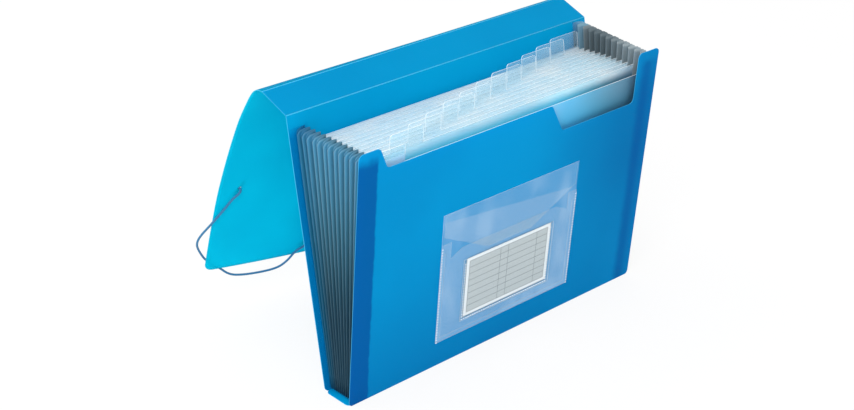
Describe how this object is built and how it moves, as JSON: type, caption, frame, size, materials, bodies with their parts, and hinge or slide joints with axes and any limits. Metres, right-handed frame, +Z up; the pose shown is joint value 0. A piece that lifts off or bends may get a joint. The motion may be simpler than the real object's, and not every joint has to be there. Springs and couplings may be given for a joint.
{
  "type": "accordion file folder",
  "caption": "Translucent accordion file folder for A4 papers, with a pleated fan of tabbed dividers, a closing flap with corner elastics and a label pocket on the front.",
  "frame": {"origin": "centre of the base strip's underside, on the surface that the folder stands on", "axes": "X along the width, left to right seen from the front; the front cover faces -Y; Z up"},
  "size_m": [0.3564, 0.2242, 0.2454],
  "materials": {
    "cover_blue": "satin translucent polypropylene",
    "gusset_grey": "satin translucent film",
    "divider_clear": "frosted clear film",
    "pocket_clear": "glossy clear film",
    "card_paper": "matt card",
    "elastic_blue": "covered elastic cord",
    "bar_blue": "satin"
  },
  "bodies": {
    "base": {"base_strip": "cover_blue", "gusset_left": "gusset_grey", "gusset_right": "gusset_grey"},
    "front": {"front_cover": "cover_blue", "pocket_back_sheet": "pocket_clear", "pocket_tuck_flap": "pocket_clear", "pocket_front_sheet": "pocket_clear", "card_sleeve": "pocket_clear"},
    "card": {"index_card": "card_paper"},
    "back": {"back_cover": "cover_blue"},
    "spine": {"top_spine": "cover_blue"},
    "flap": {"closing_flap": "cover_blue", "elastic_left": "elastic_blue", "elastic_right": "elastic_blue", "elastic_bars_left": "bar_blue", "elastic_bars_right": "bar_blue"},
    "divider_01": {"divider_01": "divider_clear"},
    "divider_02": {"divider_02": "divider_clear"},
    "divider_03": {"divider_03": "divider_clear"},
    "divider_04": {"divider_04": "divider_clear"},
    "divider_05": {"divider_05": "divider_clear"},
    "divider_06": {"divider_06": "divider_clear"},
    "divider_07": {"divider_07": "divider_clear"},
    "divider_08": {"divider_08": "divider_clear"},
    "divider_09": {"divider_09": "divider_clear"},
    "divider_10": {"divider_10": "divider_clear"},
    "divider_11": {"divider_11": "divider_clear"},
    "divider_12": {"divider_12": "divider_clear"}
  },
  "joints": [
    {"name": "spine_crease", "type": "hinge", "parent": "back", "child": "spine", "pos_m": [0, 0.04834, 0.234], "axis": [1, 0, 0], "range_deg": [0, 145], "deforming": ["gusset_left", "gusset_right"]},
    {"name": "flap_crease", "type": "hinge", "parent": "spine", "child": "flap", "pos_m": [0, 0.07729, 0.24511], "axis": [1, 0, 0], "range_deg": [0, 176.41]},
    {"name": "front_crease", "type": "hinge", "parent": "base", "child": "front", "pos_m": [0, -0.0155, 0.0003], "axis": [1, 0, 0], "range_deg": [-8.51, 0]},
    {"name": "back_crease", "type": "hinge", "parent": "base", "child": "back", "pos_m": [0, 0.0155, 0.0003], "axis": [1, 0, 0], "range_deg": [0, 10.51]},
    {"name": "divider_01_crease", "type": "hinge", "parent": "base", "child": "divider_01", "pos_m": [0, -0.01311, 0.0012], "axis": [1, 0, 0], "range_deg": [-7.05, 0]},
    {"name": "divider_02_crease", "type": "hinge", "parent": "base", "child": "divider_02", "pos_m": [0, -0.01073, 0.0012], "axis": [1, 0, 0], "range_deg": [-5.59, 0]},
    {"name": "divider_03_crease", "type": "hinge", "parent": "base", "child": "divider_03", "pos_m": [0, -0.00835, 0.0012], "axis": [1, 0, 0], "range_deg": [-4.13, 0]},
    {"name": "divider_04_crease", "type": "hinge", "parent": "base", "child": "divider_04", "pos_m": [0, -0.00596, 0.0012], "axis": [1, 0, 0], "range_deg": [-2.66, 0]},
    {"name": "divider_05_crease", "type": "hinge", "parent": "base", "child": "divider_05", "pos_m": [0, -0.00358, 0.0012], "axis": [1, 0, 0], "range_deg": [-1.2, 0]},
    {"name": "divider_06_crease", "type": "hinge", "parent": "base", "child": "divider_06", "pos_m": [0, -0.00119, 0.0012], "axis": [1, 0, 0], "range_deg": [0, 0.27923]},
    {"name": "divider_07_crease", "type": "hinge", "parent": "base", "child": "divider_07", "pos_m": [0, 0.00119, 0.0012], "axis": [1, 0, 0], "range_deg": [0, 1.74]},
    {"name": "divider_08_crease", "type": "hinge", "parent": "base", "child": "divider_08", "pos_m": [0, 0.00358, 0.0012], "axis": [1, 0, 0], "range_deg": [0, 3.2]},
    {"name": "divider_09_crease", "type": "hinge", "parent": "base", "child": "divider_09", "pos_m": [0, 0.00596, 0.0012], "axis": [1, 0, 0], "range_deg": [0, 4.66]},
    {"name": "divider_10_crease", "type": "hinge", "parent": "base", "child": "divider_10", "pos_m": [0, 0.00835, 0.0012], "axis": [1, 0, 0], "range_deg": [0, 6.13]},
    {"name": "divider_11_crease", "type": "hinge", "parent": "base", "child": "divider_11", "pos_m": [0, 0.01073, 0.0012], "axis": [1, 0, 0], "range_deg": [0, 7.59]},
    {"name": "divider_12_crease", "type": "hinge", "parent": "base", "child": "divider_12", "pos_m": [0, 0.01311, 0.0012], "axis": [1, 0, 0], "range_deg": [0, 9.05]},
    {"name": "card_slide", "type": "slide", "parent": "front", "child": "card", "axis": [0, -0.1045, 0.9945], "range_m": [0, 0.06]}
  ],
  "couplings": [
    {"joint": "flap_crease", "follows": "spine_crease", "ratio": 1.2166},
    {"joint": "front_crease", "follows": "spine_crease", "ratio": -0.058621},
    {"joint": "back_crease", "follows": "spine_crease", "ratio": 0.072414},
    {"joint": "divider_01_crease", "follows": "spine_crease", "ratio": -0.048541},
    {"joint": "divider_02_crease", "follows": "spine_crease", "ratio": -0.038462},
    {"joint": "divider_03_crease", "follows": "spine_crease", "ratio": -0.028382},
    {"joint": "divider_04_crease", "follows": "spine_crease", "ratio": -0.018302},
    {"joint": "divider_05_crease", "follows": "spine_crease", "ratio": -0.0082228},
    {"joint": "divider_06_crease", "follows": "spine_crease", "ratio": 0.0018568},
    {"joint": "divider_07_crease", "follows": "spine_crease", "ratio": 0.011936},
    {"joint": "divider_08_crease", "follows": "spine_crease", "ratio": 0.022016},
    {"joint": "divider_09_crease", "follows": "spine_crease", "ratio": 0.032095},
    {"joint": "divider_10_crease", "follows": "spine_crease", "ratio": 0.042175},
    {"joint": "divider_11_crease", "follows": "spine_crease", "ratio": 0.052255},
    {"joint": "divider_12_crease", "follows": "spine_crease", "ratio": 0.062334}
  ]
}
